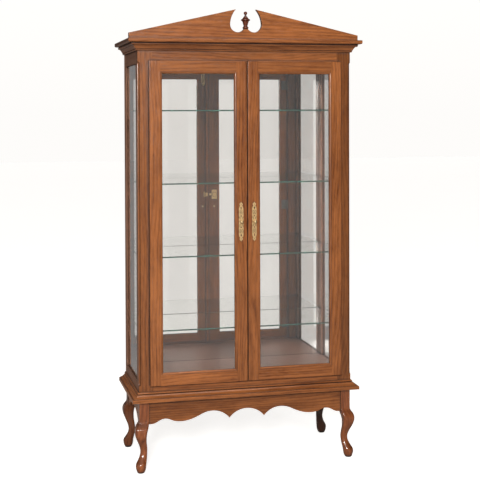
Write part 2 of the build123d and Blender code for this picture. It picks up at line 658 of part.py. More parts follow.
def door_frame(name, side):
    """Mitred stiles and rails, glass and stops of one door."""
    height = DOOR_TOP - DOOR_BOTTOM
    hinge = door_stile(DOOR_OUTER_X, -1, height)
    meeting = door_stile(DOOR_HALF_GAP, 1, height)
    flat = DOOR_MEMBER - DOOR_MOULD_WIDTH
    x0 = DOOR_HALF_GAP + flat
    x1 = DOOR_OUTER_X - flat
    z0 = DOOR_BOTTOM + flat
    z1 = DOOR_TOP - flat
    top = door_rail(x0, x1, DOOR_TOP, -1)
    bottom = door_rail(x0, x1, DOOR_BOTTOM, 1)
    meeting, top = mitre(meeting, top, x0, 1, z1, -1)
    meeting, bottom = mitre(meeting, bottom, x0, 1, z0, 1)
    hinge, top = mitre(hinge, top, x1, -1, z1, -1)
    hinge, bottom = mitre(hinge, bottom, x1, -1, z0, 1)
    centre = DOOR_OUTER_X - HINGE_CUP_INSET
    cup_floor = DOOR_BACK_Y - HINGE_CUP_DEPTH
    for z in HINGE_LEVELS:
        hinge -= rod((centre, DOOR_BACK_Y + 1, z), (centre, cup_floor, z), HINGE_CUP_RADIUS)
    meeting -= rod((PULL_X, DOOR_BACK_Y + 1, PULL_Z), (PULL_X, DOOR_FRONT_Y - 1, PULL_Z), 2.2)
    if side > 0:
        key_z = PULL_Z + KEYHOLE_OFFSET
        meeting -= rod((PULL_X, DOOR_BACK_Y + 1, key_z), (PULL_X, DOOR_FRONT_Y - 1, key_z), 3.0)
        meeting -= block(PULL_X - 1.2, PULL_X + 1.2, DOOR_FRONT_Y - 1, DOOR_BACK_Y + 1, key_z - 8, key_z)
    glass_front = DOOR_FRONT_Y + DOOR_MOULD_DEPTH
    glass_back = glass_front + DOOR_GLASS_THICK
    glass = block(x0 + 1, x1 - 1, glass_front, glass_back, z0 + 1, z1 - 1)
    stops = []
    width = DOOR_MOULD_WIDTH - 1
    for low, high in ((x0, x0 + width), (x1 - width, x1)):
        stops.append(block(low, high, glass_back, DOOR_BACK_Y, z0, z1))
    for low, high in ((z0, z0 + width), (z1 - width, z1)):
        stops.append(block(x0 + width, x1 - width, glass_back, DOOR_BACK_Y, low, high))
    prefix = name + "_door_"
    nodes[prefix + "hinge_stile"] = on_side(side, hinge)
    nodes[prefix + "meeting_stile"] = on_side(side, meeting)
    nodes[prefix + "top_rail"] = on_side(side, top)
    nodes[prefix + "bottom_rail"] = on_side(side, bottom)
    nodes[prefix + "glass"] = on_side(side, glass)
    nodes[prefix + "glass_stops"] = on_side(side, group(stops))


def pull_outline():
    """Quarter outline (x, z) of the back plate: lobed side, neck and leaf-shaped end."""
    tip = PULL_LENGTH / 2
    wide = PULL_WIDTH / 2
    lobes = ((0, 9.0), (10, wide), (19, 8.6), (31, wide), (43, 8.8), (54, wide - 0.3), (66, 7.6))
    edges = []
    for start, middle, end in zip(lobes[0::2], lobes[1::2], lobes[2::2]):
        edges.append(ThreePointArc((start[1], 0, start[0]), (middle[1], 0, middle[0]), (end[1], 0, end[0])))
    edges += [
        ThreePointArc((7.6, 0, 66), (5.4, 0, 68.5), (5.0, 0, 71.5)),
        ThreePointArc((5.0, 0, 71.5), (7.4, 0, 75.5), (6.0, 0, 79.5)),
        ThreePointArc((6.0, 0, 79.5), (2.2, 0, 82.8), (0, 0, tip)),
        Line((0, 0, tip), (0, 0, 0)),
        Line((0, 0, 0), (9.0, 0, 0)),
    ]
    return edges


def pull_piercings():
    """Centres (x, z) and radii of the round piercings above the middle."""
    holes = [(0, 25.0, 3.0), (0, 76.0, 1.9)]
    for z in (34.0, 41.0, 48.0):
        holes.append((4.3, z, 1.9))
    for z in (37.5, 44.5):
        holes.append((0, z, 2.0))
    for z in (13.0, 18.5):
        holes.append((5.0, z, 1.8))
    return holes


def pull_plate(side):
    """Pierced back plate, made for the right door."""
    quarter = extrude(make_face(pull_outline()), PULL_THICK, dir=(0, 1, 0))
    for x, z, radius in pull_piercings():
        quarter -= rod((x, -1, z), (x, PULL_THICK + 1, z), radius)
    quarter -= rod((0, -1, 0), (0, PULL_THICK + 1, 0), 2.2)
    quarter -= rod((0, -1, KEYHOLE_OFFSET), (0, PULL_THICK + 1, KEYHOLE_OFFSET), 3.2)
    quarter -= block(-1.6, 1.6, -1, PULL_THICK + 1, KEYHOLE_OFFSET - 8, KEYHOLE_OFFSET)
    half = quarter + mirror_x(quarter)
    plate = half + mirror(half, about=Plane.XY)
    plate = Pos(PULL_X, DOOR_FRONT_Y - PULL_THICK, PULL_Z) * plate
    return on_side(side, plate)


def knob(side):
    """Turned knob in front of the plate, and the screw that holds it."""
    face = DOOR_FRONT_Y - PULL_THICK
    neck = 3.6
    ball_start = KNOB_CENTRE - math.sqrt(KNOB_RADIUS ** 2 - neck ** 2)
    ball_end = KNOB_CENTRE + KNOB_RADIUS
    outline = [
        Line((0, 0, 0), (5.0, 0, 0)),
        ThreePointArc((5.0, 0, 0), (3.3, 0, 2.6), (neck, 0, ball_start)),
        ThreePointArc((neck, 0, ball_start), (KNOB_RADIUS, 0, KNOB_CENTRE), (0, 0, ball_end)),
        Line((0, 0, ball_end), (0, 0, 0)),
    ]
    turned = revolve(make_face(outline), Axis.Z)
    turned = Pos(PULL_X, face, PULL_Z) * (Rot(90, 0, 0) * turned)
    shank = rod((PULL_X, face, PULL_Z), (PULL_X, DOOR_BACK_Y, PULL_Z), 2.0)
    head = rod((PULL_X, DOOR_BACK_Y, PULL_Z), (PULL_X, DOOR_BACK_Y + 2.2, PULL_Z), 4.5)
    head = fillet(head.edges().group_by(Axis.Y)[-1], 1.4)
    head -= block(PULL_X - 5, PULL_X + 5, DOOR_BACK_Y + 1.2, DOOR_BACK_Y + 3, PULL_Z - 0.5, PULL_Z + 0.5)
    screw = shank + head
    return on_side(side, group([turned, screw]))


def hinge_cup(z):
    """Cup in the door with its flange and two screws, for the right door."""
    centre = DOOR_OUTER_X - HINGE_CUP_INSET
    cup_floor = DOOR_BACK_Y - HINGE_CUP_DEPTH + 0.2
    cup = rod((centre, DOOR_BACK_Y, z), (centre, cup_floor, z), HINGE_CUP_RADIUS - 0.1)
    cup -= rod((centre, DOOR_BACK_Y + 1, z), (centre, cup_floor + 1.3, z), HINGE_CUP_RADIUS - 1.4)
    plate = block(centre - 23, centre + 4.5, DOOR_BACK_Y, DOOR_BACK_Y + 1.2, z - 23, z + 23)
    plate = fillet(plate.edges().filter_by(Axis.Y), 6)
    plate -= rod((centre, DOOR_BACK_Y - 1, z), (centre, DOOR_BACK_Y + 3, z), HINGE_CUP_RADIUS - 3)
    body = cup + plate
    screws = []
    for offset in (-18.5, 18.5):
        x = centre - 14
        screws.append(rod((x, DOOR_BACK_Y + 1.2, z + offset), (x, DOOR_BACK_Y + 2.4, z + offset), 3.6))
    return [body] + screws


def hinge_plate(z):
    """Plate and arm on the edge of the face frame stile, for the right side."""
    x = FACE_INNER_X
    plate = block(x - 2, x, 2, 18, z - 22, z + 22)
    plate = fillet(plate.edges().filter_by(Axis.X), 3)
    arm = block(x - 20, x - 1, 2.2, 10, z - 6.5, z + 6.5)
    arm = fillet([edge for edge in arm.edges().filter_by(Axis.Z) if edge.center().X < x - 10], 3)
    screws = []
    for offset in (-14, 14):
        screws.append(rod((x - 2, 10, z + offset), (x - 3.2, 10, z + offset), 3.6))
    return [plate + arm] + screws


def hinges():
    """Three concealed hinges a side: cups on the doors, plates on the frame."""
    plates = []
    for name, side in SIDES.items():
        cups = []
        for z in HINGE_LEVELS:
            cups.extend(hinge_cup(z))
            plates.extend([on_side(side, solid) for solid in hinge_plate(z)])
        nodes[name + "_door_hinge_cups"] = on_side(side, group(cups))
    nodes["hinge_plates"] = group(plates)


# ---------------------------------------------------------------- bolt and lock
def bolt_guide():
    """Base plate and two guides of the slide bolt, on the left door's back."""
    back = DOOR_BACK_Y
    plate = block(BOLT_X - 9, BOLT_X + 9, back, back + 1.6, 1703, 1767)
    plate = fillet(plate.edges().filter_by(Axis.Y), 3)
    body = plate
    for low, high in ((1705, 1714), (1750, 1765)):
        body += block(BOLT_X - 6, BOLT_X + 6, back + 1, BOLT_Y + 5.5, low, high)
    body -= rod((BOLT_X, BOLT_Y, 1700), (BOLT_X, BOLT_Y, 1770), BOLT_RADIUS + 0.08)
    nodes["bolt_guide"] = body


def slide_bolt():
    """Bolt rod with its side knob, withdrawn at rest."""
    low = BOLT_REST_TOP - BOLT_LENGTH
    shaft = rod((BOLT_X, BOLT_Y, low), (BOLT_X, BOLT_Y, BOLT_REST_TOP), BOLT_RADIUS)
    shaft = chamfer(shaft.edges().group_by(Axis.Z)[-1], 0.8)
    stem = rod((BOLT_X, BOLT_Y, BOLT_KNOB_Z), (BOLT_X, BOLT_Y + 9, BOLT_KNOB_Z), 2.0)
    grip = Pos(BOLT_X, BOLT_Y + 11, BOLT_KNOB_Z) * Sphere(4.2)
    nodes["slide_bolt"] = shaft + stem + grip


def lock():
    """Lock case on the right door and its bolt."""
    back = DOOR_BACK_Y
    front = back + LOCK_DEPTH
    middle = (LOCK_BOTTOM + LOCK_TOP) / 2
    case = block(LOCK_LEFT, LOCK_RIGHT, back, front, LOCK_BOTTOM, LOCK_TOP)
    case = fillet(case.edges().filter_by(Axis.Y), 2)
    case += rod((PULL_X, front - 1, middle), (PULL_X, front + 3, middle), LOCK_CYLINDER_RADIUS)
    wall = 1.5
    case -= block(LOCK_LEFT + wall, LOCK_RIGHT - wall, back + wall, front - wall, middle - 12, middle + 12)
    case -= block(LOCK_LEFT - 1, LOCK_LEFT + 3, back + 2.42, back + 6.58, middle - 5.08, middle + 5.08)
    case -= rod((PULL_X, back - 1, middle), (PULL_X, back + 3, middle), 3.0)
    nodes["lock_case"] = case
    bolt_far = LOCK_BOLT_END + LOCK_BOLT_LENGTH
    nodes["lock_bolt"] = block(LOCK_BOLT_END, bolt_far, back + 2.5, back + 6.5, middle - 5, middle + 5)


def meeting_strip():
    """Strip on the left door's back behind the gap, with the strike for the bolt."""
    back = DOOR_BACK_Y
    front = back + STRIP_THICK
    middle = (LOCK_BOTTOM + LOCK_TOP) / 2
    right = -DOOR_HALF_GAP - 0.3
    left = right - STRIP_WIDTH
    strip = block(left, right, back, front, FACE_OPENING_BOTTOM + 3, FACE_OPENING_TOP - 3)
    rounded = [edge for edge in strip.edges().filter_by(Axis.Z) if edge.center().Y > back + 1]
    strip = fillet(rounded, 2)
    strip -= block(right - 9, right + 1, back + 1.5, back + 7.5, middle - 6, middle + 6)
    nodes["left_door_meeting_strip"] = strip
    sheet = 1.0
    gap = 0.1
    leaf = block(left - STRIKE_WIDTH, left - gap, back, back + sheet, middle - 14, middle + 14)
    leaf = fillet(leaf.edges().filter_by(Axis.Y).group_by(Axis.X)[0], 3)
    riser = block(left - gap - sheet, left - gap, back, front + sheet, middle - 9, middle + 9)
    lip = block(left - gap - sheet, right - 3, front, front + sheet, middle - 9, middle + 9)
    nodes["lock_strike"] = leaf + riser + lip


def doors():
    """Both glazed doors with their pulls, then hinges, bolt and lock."""
    for name, side in SIDES.items():
        door_frame(name, side)
        nodes[name + "_door_pull_plate"] = pull_plate(side)
        nodes[name + "_door_knob"] = knob(side)
    hinges()
    bolt_guide()
    slide_bolt()
    lock()
    meeting_strip()


# ---------------------------------------------------------------- build
def main():
    """Model every piece and write one file for each node."""
    face_frame()
    side_frames()
    interior()
    mouldings()
    cornice_cap()
    pediment()
    finial()
    base_frame()
    legs()
    doors()
    boxes = [shape.bounding_box() for shape in nodes.values()]
    front = min(box.min.Y for box in boxes)
    rear = max(box.max.Y for box in boxes)
    shift = Pos(0, -(front + rear) / 2, 0)
    for name, shape in nodes.items():
        export_step(shift * shape, "parts/%s.step" % name)
    print(len(nodes), "nodes written, moved by", round(shift.position.Y, 4))


main()
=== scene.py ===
import math

import bpy
from mathutils import Euler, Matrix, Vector


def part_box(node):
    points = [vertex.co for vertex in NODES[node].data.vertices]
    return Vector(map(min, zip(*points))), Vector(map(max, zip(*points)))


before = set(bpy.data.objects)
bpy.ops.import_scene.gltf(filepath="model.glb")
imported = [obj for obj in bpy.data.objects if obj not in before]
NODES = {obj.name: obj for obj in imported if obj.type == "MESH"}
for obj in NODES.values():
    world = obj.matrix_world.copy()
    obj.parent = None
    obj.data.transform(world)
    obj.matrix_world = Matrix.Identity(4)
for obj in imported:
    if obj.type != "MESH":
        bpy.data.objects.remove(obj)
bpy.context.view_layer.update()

# Planes of the case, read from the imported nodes, in metres.
FACE_LOW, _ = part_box("face_stile_left")
FRONT_Y = FACE_LOW.y
HALF_WIDTH = -FACE_LOW.x

# Stained wood: the light and the dark part of its figure.
FRONT_LIGHT = (0.330, 0.112, 0.033)
FRONT_DARK = (0.098, 0.026, 0.006)
SIDE_LIGHT = (0.255, 0.125, 0.078)
SIDE_DARK = (0.110, 0.050, 0.031)
FLOOR_LIGHT = (0.150, 0.072, 0.046)
FLOOR_DARK = (0.070, 0.030, 0.018)
LEG_LIGHT = (0.285, 0.085, 0.027)
LEG_DARK = (0.085, 0.020, 0.006)
FINIAL_LIGHT = (0.150, 0.035, 0.012)
FINIAL_DARK = (0.050, 0.010, 0.005)

# How glossy the lacquer is beside that of the front, which is 1.
FRONT_GLOSS = 1.0
SIDE_GLOSS = 0.15
FLOOR_GLOSS = 0.25
LEG_GLOSS = 1.7

# How light each board is beside its neighbours. Most differ as stain does from board to
# board. The rear legs, the right face stile and the right rear stile are darker than
# their stain would be: their tone also holds shade that the studio doesn't give them.
# A board that isn't named gets a tone between LEAST_TONE and LEAST_TONE + TONE_SPREAD.
LEAST_TONE = 0.90
TONE_SPREAD = 0.16
TONE_STEP = 0.618
BOARD_TONES = {
    "pediment_board": 0.94,
    "cornice_cap": 0.88,
    "face_stile_left": 0.80,
    "face_stile_right": 0.62,
    "face_rail_top": 0.88,
    "crown_moulding": 0.90,
    "left_door_hinge_stile": 1.00,
    "left_door_top_rail": 0.80,
    "left_door_bottom_rail": 1.12,
    "left_door_meeting_stile": 0.94,
    "right_door_meeting_stile": 0.93,
    "right_door_top_rail": 0.78,
    "right_door_bottom_rail": 0.96,
    "leg_front_left": 1.00,
    "leg_front_right": 0.92,
    "leg_rear_left": 0.55,
    "leg_rear_right": 0.16,
    "side_rear_stile_left": 1.15,
    "side_rear_stile_right": 0.55,
}

# Noise in the wood: its scales across and along the grain, and the range that shows.
FIGURE = {
    "streaks": dict(across=120.0, along=3.0, detail=4.0, rough=0.65, low=0.34, high=0.68),
    "clouds": dict(across=5.0, along=2.0, detail=2.0, rough=0.5, low=0.32, high=0.68),
    "flecks": dict(across=260.0, along=38.0, detail=2.0, rough=0.6, low=0.5, high=0.75),
    "blotches": dict(across=48.0, along=14.0, detail=3.0, rough=0.6, low=0.38, high=0.68),
    "pores": dict(across=700.0, along=16.0, detail=2.0, rough=0.7, low=0.58, high=0.70),
}
# How much each kind darkens the wood. FIGURE_OFFSET keeps the rest of it light.
WEIGHTS = {"streaks": 0.44, "clouds": 0.40, "flecks": 0.24, "blotches": 0.26}
RING_WEIGHT = 0.28
PORE_WEIGHT = 0.45
FIGURE_OFFSET = 0.22

# Every board is cut from its own place in the figure, in metres.
BOARD_STEP = (1.37, 0.71, 2.13)
BOARD_WRAP = (5, 3, 7)

# Growth rings: how many to a metre, how far they are cut aslant, and how they wander.
RINGS_PER_METRE = 62.0
RING_SLANT = 0.6
RING_FLOW = 15.0
RING_SWAY = 1.5
RING_SHARPNESS = 2.5
MITRE_JUMP = 3.7

# Painted shade in corners, creases and under overhangs: how far it reaches in metres, and
# how open a point is where the shade is full. There is none where a point is as open as
# the end value below. The deep kind paints the shadows under the cornice cap and under
# the base moulding.
CORNER_SHADE = (0.012, 0.40)
DEEP_CORNER_SHADE = (0.022, 0.60)
CORNER_SHADE_ENDS = 0.95

# How dark the stain on pores and end grain, and the painted shade in corners and on narrow
# sides, is beside the dark part of the figure.
CORNER_SHADE_DARKNESS = 0.16
PORE_STAIN = 0.45
END_GRAIN_STAIN = 0.5
NARROW_SIDE_SHADE = 0.6

# The lacquer's roughness without gloss, what gloss takes off, and what the rest adds, and
# its roughness in the corners of painted shade.
LACQUER_ROUGH = 0.34
GLOSS_SMOOTHS = 0.14
STREAKS_ROUGHEN = 0.08
PORES_ROUGHEN = 0.14
CORNER_SHADE_ROUGH = 0.9
LACQUER_SPECULAR = 0.40
LACQUER_COAT = 0.12
COAT_ROUGH = 0.08

# Relief, as depth in metres and strength.
PORE_RELIEF = (0.00012, 0.6)
RING_RELIEF = 0.25
METAL_RELIEF = (0.00004, 0.4)

# Metal: how far tarnish and painted shade reach out of a hollow in metres, and how wear
# mottles the shine.
TARNISH_AND_SHADE_REACH = 0.007
METAL_MOTTLE = 0.12

# Glass. The two kinds of shine are specular levels. Clear glass renders the same with
# any level: it reflects as glass of index 1.5 does, in the doors and in the sides alike.
PANE_TINT = (0.985, 0.978, 0.968)
SHELF_TINT = (0.955, 0.97, 0.955)
SHELF_EDGE = (0.010, 0.060, 0.040)
PANE_SHINE = 0.28
DOOR_PANE_SHINE = 0.03

# Light paths. Ray Depth is one higher in the world than on a surface. A pane is two
# faces, so a ray has crossed two panes when its Transmission Depth is four.
TURNED_ON_SURFACE = 0.5
TURNED_IN_WORLD = 1.5
BOUNCED = 0.5
TWO_PANES = 3.5

# The room's light. It isn't plain: its strength depends on the kind of ray, with one for
# what is seen directly, and others in the mirror, past two panes, in the lacquer and on
# every lit surface. They are set for the front view. Each row is where a change starts
# and ends in the ray's direction, and the strength at its two ends.
ROOM_COLOUR = (1.0, 0.985, 0.965, 1)
BACKDROP_UPWARD = (0.0, 0.10, 0.99, 1.02)
MIRRORED_ACROSS = (0.10, 0.40, 0.92, 0.74)
SHINE_ACROSS = (0.10, 0.30, 0.50, 0.03)
SHINE_BACKWARD = (-0.45, 0.30, 1.0, 0.12)
GLOW_TO_KEY = (-0.8, 1.0, 0.12, 0.54)
DIM_PAST_PANES = (0.27, 0.31, 0.0, 0.68)
SIDE_GLOOM = 0.60
SIDE_STARTS = 0.1
TOWARD_KEY = (-0.28, -0.83, 0.48)

# The studio floor: its size and its parts in metres. It isn't plain either: it glows
# with one brightness to the eye, and with two others in the mirror, for what lies in
# front of the case and behind it.
STUDIO_SIZE = 60.0
BEHIND_CASE = 0.3
BESIDE_CASE = 0.5
FLOOR_GLOW = 0.62
MIRRORED_FRONT_GLOW = 0.86
MIRRORED_BACK_GLOW = 0.29

# Lamps: place and target in metres, size in metres, power in watts.
LAMP_COLOUR = (1.0, 0.985, 0.96)
LAMPS = {
    "key_lamp": ((-1.7, -5.6, 2.5), (0.1, 0, 1.0), (1.15, 1.15), 345),
    "top_lamp": ((0.2, -1.8, 4.4), (0, 0, 1.2), (2.2, 1.2), 40),
}

# The camera: its place in metres, where Y counts from the case's face, and its turn in
# degrees. It looks almost level, and the shift brings the whole case into the picture.
CAMERA_PLACE = (-1.1960, -4.6930, 1.5645)
CAMERA_TURN = (90 - 0.975, 0.199, -13.480)
CAMERA_SHIFT = (0.0197, -0.2282)
LENS_MM = 82.40
SENSOR_MM = 36.0
CLIP_END = 100.0


def tinted(colour, factor=1.0):
    """A shader colour, made darker or lighter."""
    return tuple(part * factor for part in colour[:3]) + (1,)


# ---------------------------------------------------------------- node helpers
class Tree:
    """Small wrapper that makes and links the shader nodes of a material or a world."""

    def __init__(self, owner, output="ShaderNodeOutputMaterial"):
        self.owner = owner
        owner.use_nodes = True
        self.nodes = owner.node_tree.nodes
        self.links = owner.node_tree.links
        self.nodes.clear()
        self.output = self.nodes.new(output)

    def finish(self, shader):
        """Makes a shader the owner's surface, and returns the owner."""
        self.links.new(shader, self.output.inputs["Surface"])
        return self.owner

    def add(self, kind, **settings):
        """A new node with its properties set."""
        node = self.nodes.new(kind)
        for key, value in settings.items():
            setattr(node, key, value)
        return node

    def put(self, socket, value):
        """Links a socket to another, or sets its value."""
        if hasattr(value, "is_output"):
            self.links.new(value, socket)
        else:
            socket.default_value = value

    def position(self):
        """Position in the row frame."""
        return self.add("ShaderNodeTexCoord").outputs["Object"]

    def light_path(self):
        """What kind of ray asks, and what it has met."""
        return self.add("ShaderNodeLightPath").outputs

    def math(self, operation, *values):
        """One step of arithmetic."""
        node = self.add("ShaderNodeMath", operation=operation)
        for socket, value in zip(node.inputs, values):
            self.put(socket, value)
        return node.outputs[0]

    def plus(self, first, second):
        """First plus second."""
        return self.math("ADD", first, second)

    def minus(self, first, second):
        """First minus second."""
        return self.math("SUBTRACT", first, second)

    def times(self, first, second):
        """First times second."""
        return self.math("MULTIPLY", first, second)

    def above(self, first, second):
        """1 where first is greater than second, or else 0."""
        return self.math("GREATER_THAN", first, second)

    def turns(self, path):
        """How many times a ray has turned: going through glass doesn't count."""
        return self.minus(path["Ray Depth"], path["Transmission Depth"])

    def noise(self, vector, scale, detail=2.0, rough=0.5):
        """Fractal noise at a position."""
        node = self.add("ShaderNodeTexNoise")
        self.put(node.inputs["Vector"], vector)
        self.put(node.inputs["Scale"], scale)
        self.put(node.inputs["Detail"], detail)
        self.put(node.inputs["Roughness"], rough)
        return node.outputs["Fac"]

    def remap(self, value, low, high, to_low=0.0, to_high=1.0):
        """A value taken from one range to another, and held inside it."""
        node = self.add("ShaderNodeMapRange")
        for socket, item in zip(node.inputs, (value, low, high, to_low, to_high)):
            self.put(socket, item)
        return node.outputs[0]

    def mix(self, factor, first, second):
        """Blend of two colours."""
        node = self.add("ShaderNodeMix", data_type="RGBA")
        for place, value in zip((0, 6, 7), (factor, first, second)):
            self.put(node.inputs[place], value)
        return node.outputs[2]

    def mix_float(self, factor, first, second):
        """Blend of two numbers."""
        node = self.add("ShaderNodeMix", data_type="FLOAT")
        for place, value in zip((0, 2, 3), (factor, first, second)):
            self.put(node.inputs[place], value)
        return node.outputs[0]

    def mix_shader(self, factor, first, second):
        """Blend of two shaders."""
        node = self.add("ShaderNodeMixShader")
        for socket, value in zip(node.inputs, (factor, first, second)):
            self.put(socket, value)
        return node.outputs[0]

    def split(self, vector):
        """The three parts of a vector."""
        node = self.add("ShaderNodeSeparateXYZ")
        self.put(node.inputs[0], vector)
        return node.outputs

    def openness(self, distance):
        """How open a point is to the room within a distance: 0 is a deep corner."""
        node = self.add("ShaderNodeAmbientOcclusion", samples=6)
        node.inputs["Distance"].default_value = distance
        return node.outputs["AO"]

    def stretch(self, vector, size, offset=(0, 0, 0)):
        """A position scaled and moved."""
        node = self.add("ShaderNodeMapping")
        self.put(node.inputs["Vector"], vector)
        node.inputs["Location"].default_value = offset
        node.inputs["Scale"].default_value = size
        return node.outputs[0]

    def bump(self, height, distance, strength):
        """A surface normal from a height."""
        node = self.add("ShaderNodeBump")
        node.inputs["Strength"].default_value = strength
        node.inputs["Distance"].default_value = distance
        self.put(node.inputs["Height"], height)
        return node.outputs[0]

    def principled(self, **values):
        """A Principled shader with these sockets set or linked."""
        node = self.add("ShaderNodeBsdfPrincipled")
        for key, value in values.items():
            self.put(node.inputs[key.replace("_", " ")], value)
        return node.outputs[0]

    def background(self, strength):
        """The room's light at a strength."""
        node = self.add("ShaderNodeBackground")
        node.inputs["Color"].default_value = ROOM_COLOUR
        self.put(node.inputs["Strength"], strength)
        return node.outputs[0]


def material_tree(name):
    """Nodes of a new material."""
    return Tree(bpy.data.materials.new(name))


# ---------------------------------------------------------------- wood
def grain_vector(tree, along):
    """The row frame's position, turned so that the grain runs along Z.

    "mitre" turns the grain from X to Y across the mitres of a moulding that
    wraps the case.
    """
    x, y, z = tree.split(tree.position())
    if along == "mitre":
        past_side = tree.minus(tree.math("ABSOLUTE", x), HALF_WIDTH)
        past_front = tree.minus(FRONT_Y, y)
        on_side = tree.above(past_side, past_front)
        across = tree.mix_float(on_side, y, x)
        length = tree.mix_float(on_side, x, y)
        order = (across, z, tree.plus(length, tree.times(on_side, MITRE_JUMP)))
    else:
        order = {"Z": (x, y, z), "X": (z, y, x), "Y": (z, x, y)}[along]
    joined = tree.add("ShaderNodeCombineXYZ")
    for socket, value in zip(joined.inputs, order):
        tree.put(socket, value)
    return joined.outputs[0]


def grain_noise(tree, place, across, along, detail=2.0, rough=0.5):
    """Noise with its own scales across and along the grain."""
    return tree.noise(tree.stretch(place, (across, across, along)), 1.0, detail, rough)


def figure_layer(tree, place, across, along, detail, rough, low, high):
    """One kind of noise in the wood: as it is, and with only the range that shows."""
    plain = grain_noise(tree, place, across, along, detail, rough)
    return plain, tree.remap(plain, low, high)


def growth_rings(tree, place):
    """Plain-sawn rings: 1 is the dark late wood."""
    flow = grain_noise(tree, place, 4.0, 0.7)
    sway = grain_noise(tree, place, 16.0, 2.0)
    x, y, _ = tree.split(place)
    phase = tree.times(tree.plus(x, tree.times(y, RING_SLANT)), RINGS_PER_METRE)
    phase = tree.plus(phase, tree.times(flow, RING_FLOW))
    phase = tree.plus(phase, tree.times(sway, RING_SWAY))
    wave = tree.math("SINE", tree.times(phase, math.tau))
    return tree.math("POWER", tree.remap(wave, -1.0, 1.0), RING_SHARPNESS)


def stain_ends_shade_sides(tree, colour, along, dark, is_front):
    """Darker stain on end grain, and painted shade on the narrow sides of upright front boards.
    """
    normal = tree.split(tree.add("ShaderNodeTexCoord").outputs["Normal"])
    if along != "mitre":
        toward = tree.math("ABSOLUTE", normal["XYZ".index(along)])
        amount = tree.remap(toward, 0.25, 0.8, 0.0, 0.75)
        colour = tree.mix(amount, colour, tinted(dark, END_GRAIN_STAIN))
    # Painted shade: the narrow sides of upright front boards, such as the door edges beside the
    # face frame, are darkened.
    if along == "Z" and is_front:
        toward = tree.math("ABSOLUTE", normal[0])
        amount = tree.remap(toward, 0.6, 0.95, 0.0, 0.8)
        colour = tree.mix(amount, colour, tinted(dark, NARROW_SIDE_SHADE))
    return colour


def wood(name, along, light, dark, seed, tone, gloss, painted_shade):
    """Lacquered, stained hardwood with rings, streaks, flecks and pores, and painted shade in its
    corners and on narrow sides.
    """
    tree = material_tree(name)
    light, dark = tinted(light, tone), tinted(dark, tone)
    offset = tuple(seed * step % wrap for step, wrap in zip(BOARD_STEP, BOARD_WRAP))
    place = tree.stretch(grain_vector(tree, along), (1, 1, 1), offset)
    late = growth_rings(tree, place)
    layers = {kind: figure_layer(tree, place, **layer) for kind, layer in FIGURE.items()}
    streaks, pores = layers["streaks"][0], layers["pores"][1]

    amount = tree.times(late, RING_WEIGHT)
    for kind, weight in WEIGHTS.items():
        amount = tree.plus(amount, tree.times(layers[kind][1], weight))
    amount = tree.minus(amount, FIGURE_OFFSET)
    colour = tree.mix(tree.remap(amount, 0.0, 1.0), light, dark)
    colour = tree.mix(tree.times(pores, PORE_WEIGHT), colour, tinted(dark, PORE_STAIN))
    colour = stain_ends_shade_sides(tree, colour, along, dark, gloss == FRONT_GLOSS)
    # Painted shade: the colour darkens where a point is enclosed, in corners, creases and under
    # overhangs.
    reach, shade_full = painted_shade
    unshaded_untarnished = tree.remap(tree.openness(reach), shade_full, CORNER_SHADE_ENDS)
    colour = tree.mix(unshaded_untarnished, tinted(dark, CORNER_SHADE_DARKNESS), colour)

    smooth = LACQUER_ROUGH - GLOSS_SMOOTHS * gloss
    rough = tree.remap(streaks, 0.3, 0.7, smooth, smooth + STREAKS_ROUGHEN)
    rough = tree.plus(rough, tree.times(pores, PORES_ROUGHEN))
    rough = tree.mix_float(unshaded_untarnished, CORNER_SHADE_ROUGH, rough)
    relief = tree.minus(tree.times(late, RING_RELIEF), pores)
    return tree.finish(tree.principled(
        Base_Color=colour,
        Roughness=rough,
        Specular_IOR_Level=LACQUER_SPECULAR * gloss,
        Coat_Weight=LACQUER_COAT * gloss,
        Coat_Roughness=COAT_ROUGH,
        Normal=tree.bump(relief, *PORE_RELIEF),
    ))


# ---------------------------------------------------------------- glass
def glass(name, tint, shine, edge=None):
    """Float glass that lets lamps through; edge is the colour of its cut edge."""
    tree = material_tree(name)
    smear = tree.noise(tree.position(), 9.0, 3.0)
    body = tree.principled(
        Base_Color=tree.mix(tree.remap(smear, 0.4, 0.7), tinted(tint), tinted(tint, 0.985)),
        Transmission_Weight=1.0,
        IOR=1.5,
        Specular_IOR_Level=shine,
        Roughness=0.0,
    )
    if edge is not None:
        cut = tree.principled(Base_Color=tinted(edge), Transmission_Weight=0.25, Roughness=0.12)
        up = tree.split(tree.add("ShaderNodeNewGeometry").outputs["True Normal"])[2]
        flat = tree.above(tree.math("ABSOLUTE", up), 0.5)
        body = tree.mix_shader(flat, cut, body)
    clear = tree.add("ShaderNodeBsdfTransparent")
    clear.inputs["Color"].default_value = tinted(tint, 0.97)
    to_lamp = tree.light_path()["Is Shadow Ray"]
    return tree.finish(tree.mix_shader(to_lamp, body, clear.outputs[0]))


def silvering():
    """Silvered glass: bright in front, grey paint behind."""
    tree = material_tree("silvered_mirror")
    haze = tree.noise(tree.position(), 6.0, 3.0)
    facing = tree.split(tree.add("ShaderNodeNewGeometry").outputs["True Normal"])[1]
    front = tree.math("LESS_THAN", facing, -0.5)
    bright = tree.mix(tree.remap(haze, 0.3, 0.7), (0.87, 0.865, 0.85, 1), (0.90, 0.893, 0.88, 1))
    return tree.finish(tree.principled(
        Base_Color=tree.mix(front, (0.25, 0.26, 0.27, 1), bright),
        Metallic=front,
        Roughness=tree.mix_float(front, 0.6, 0.0),
    ))


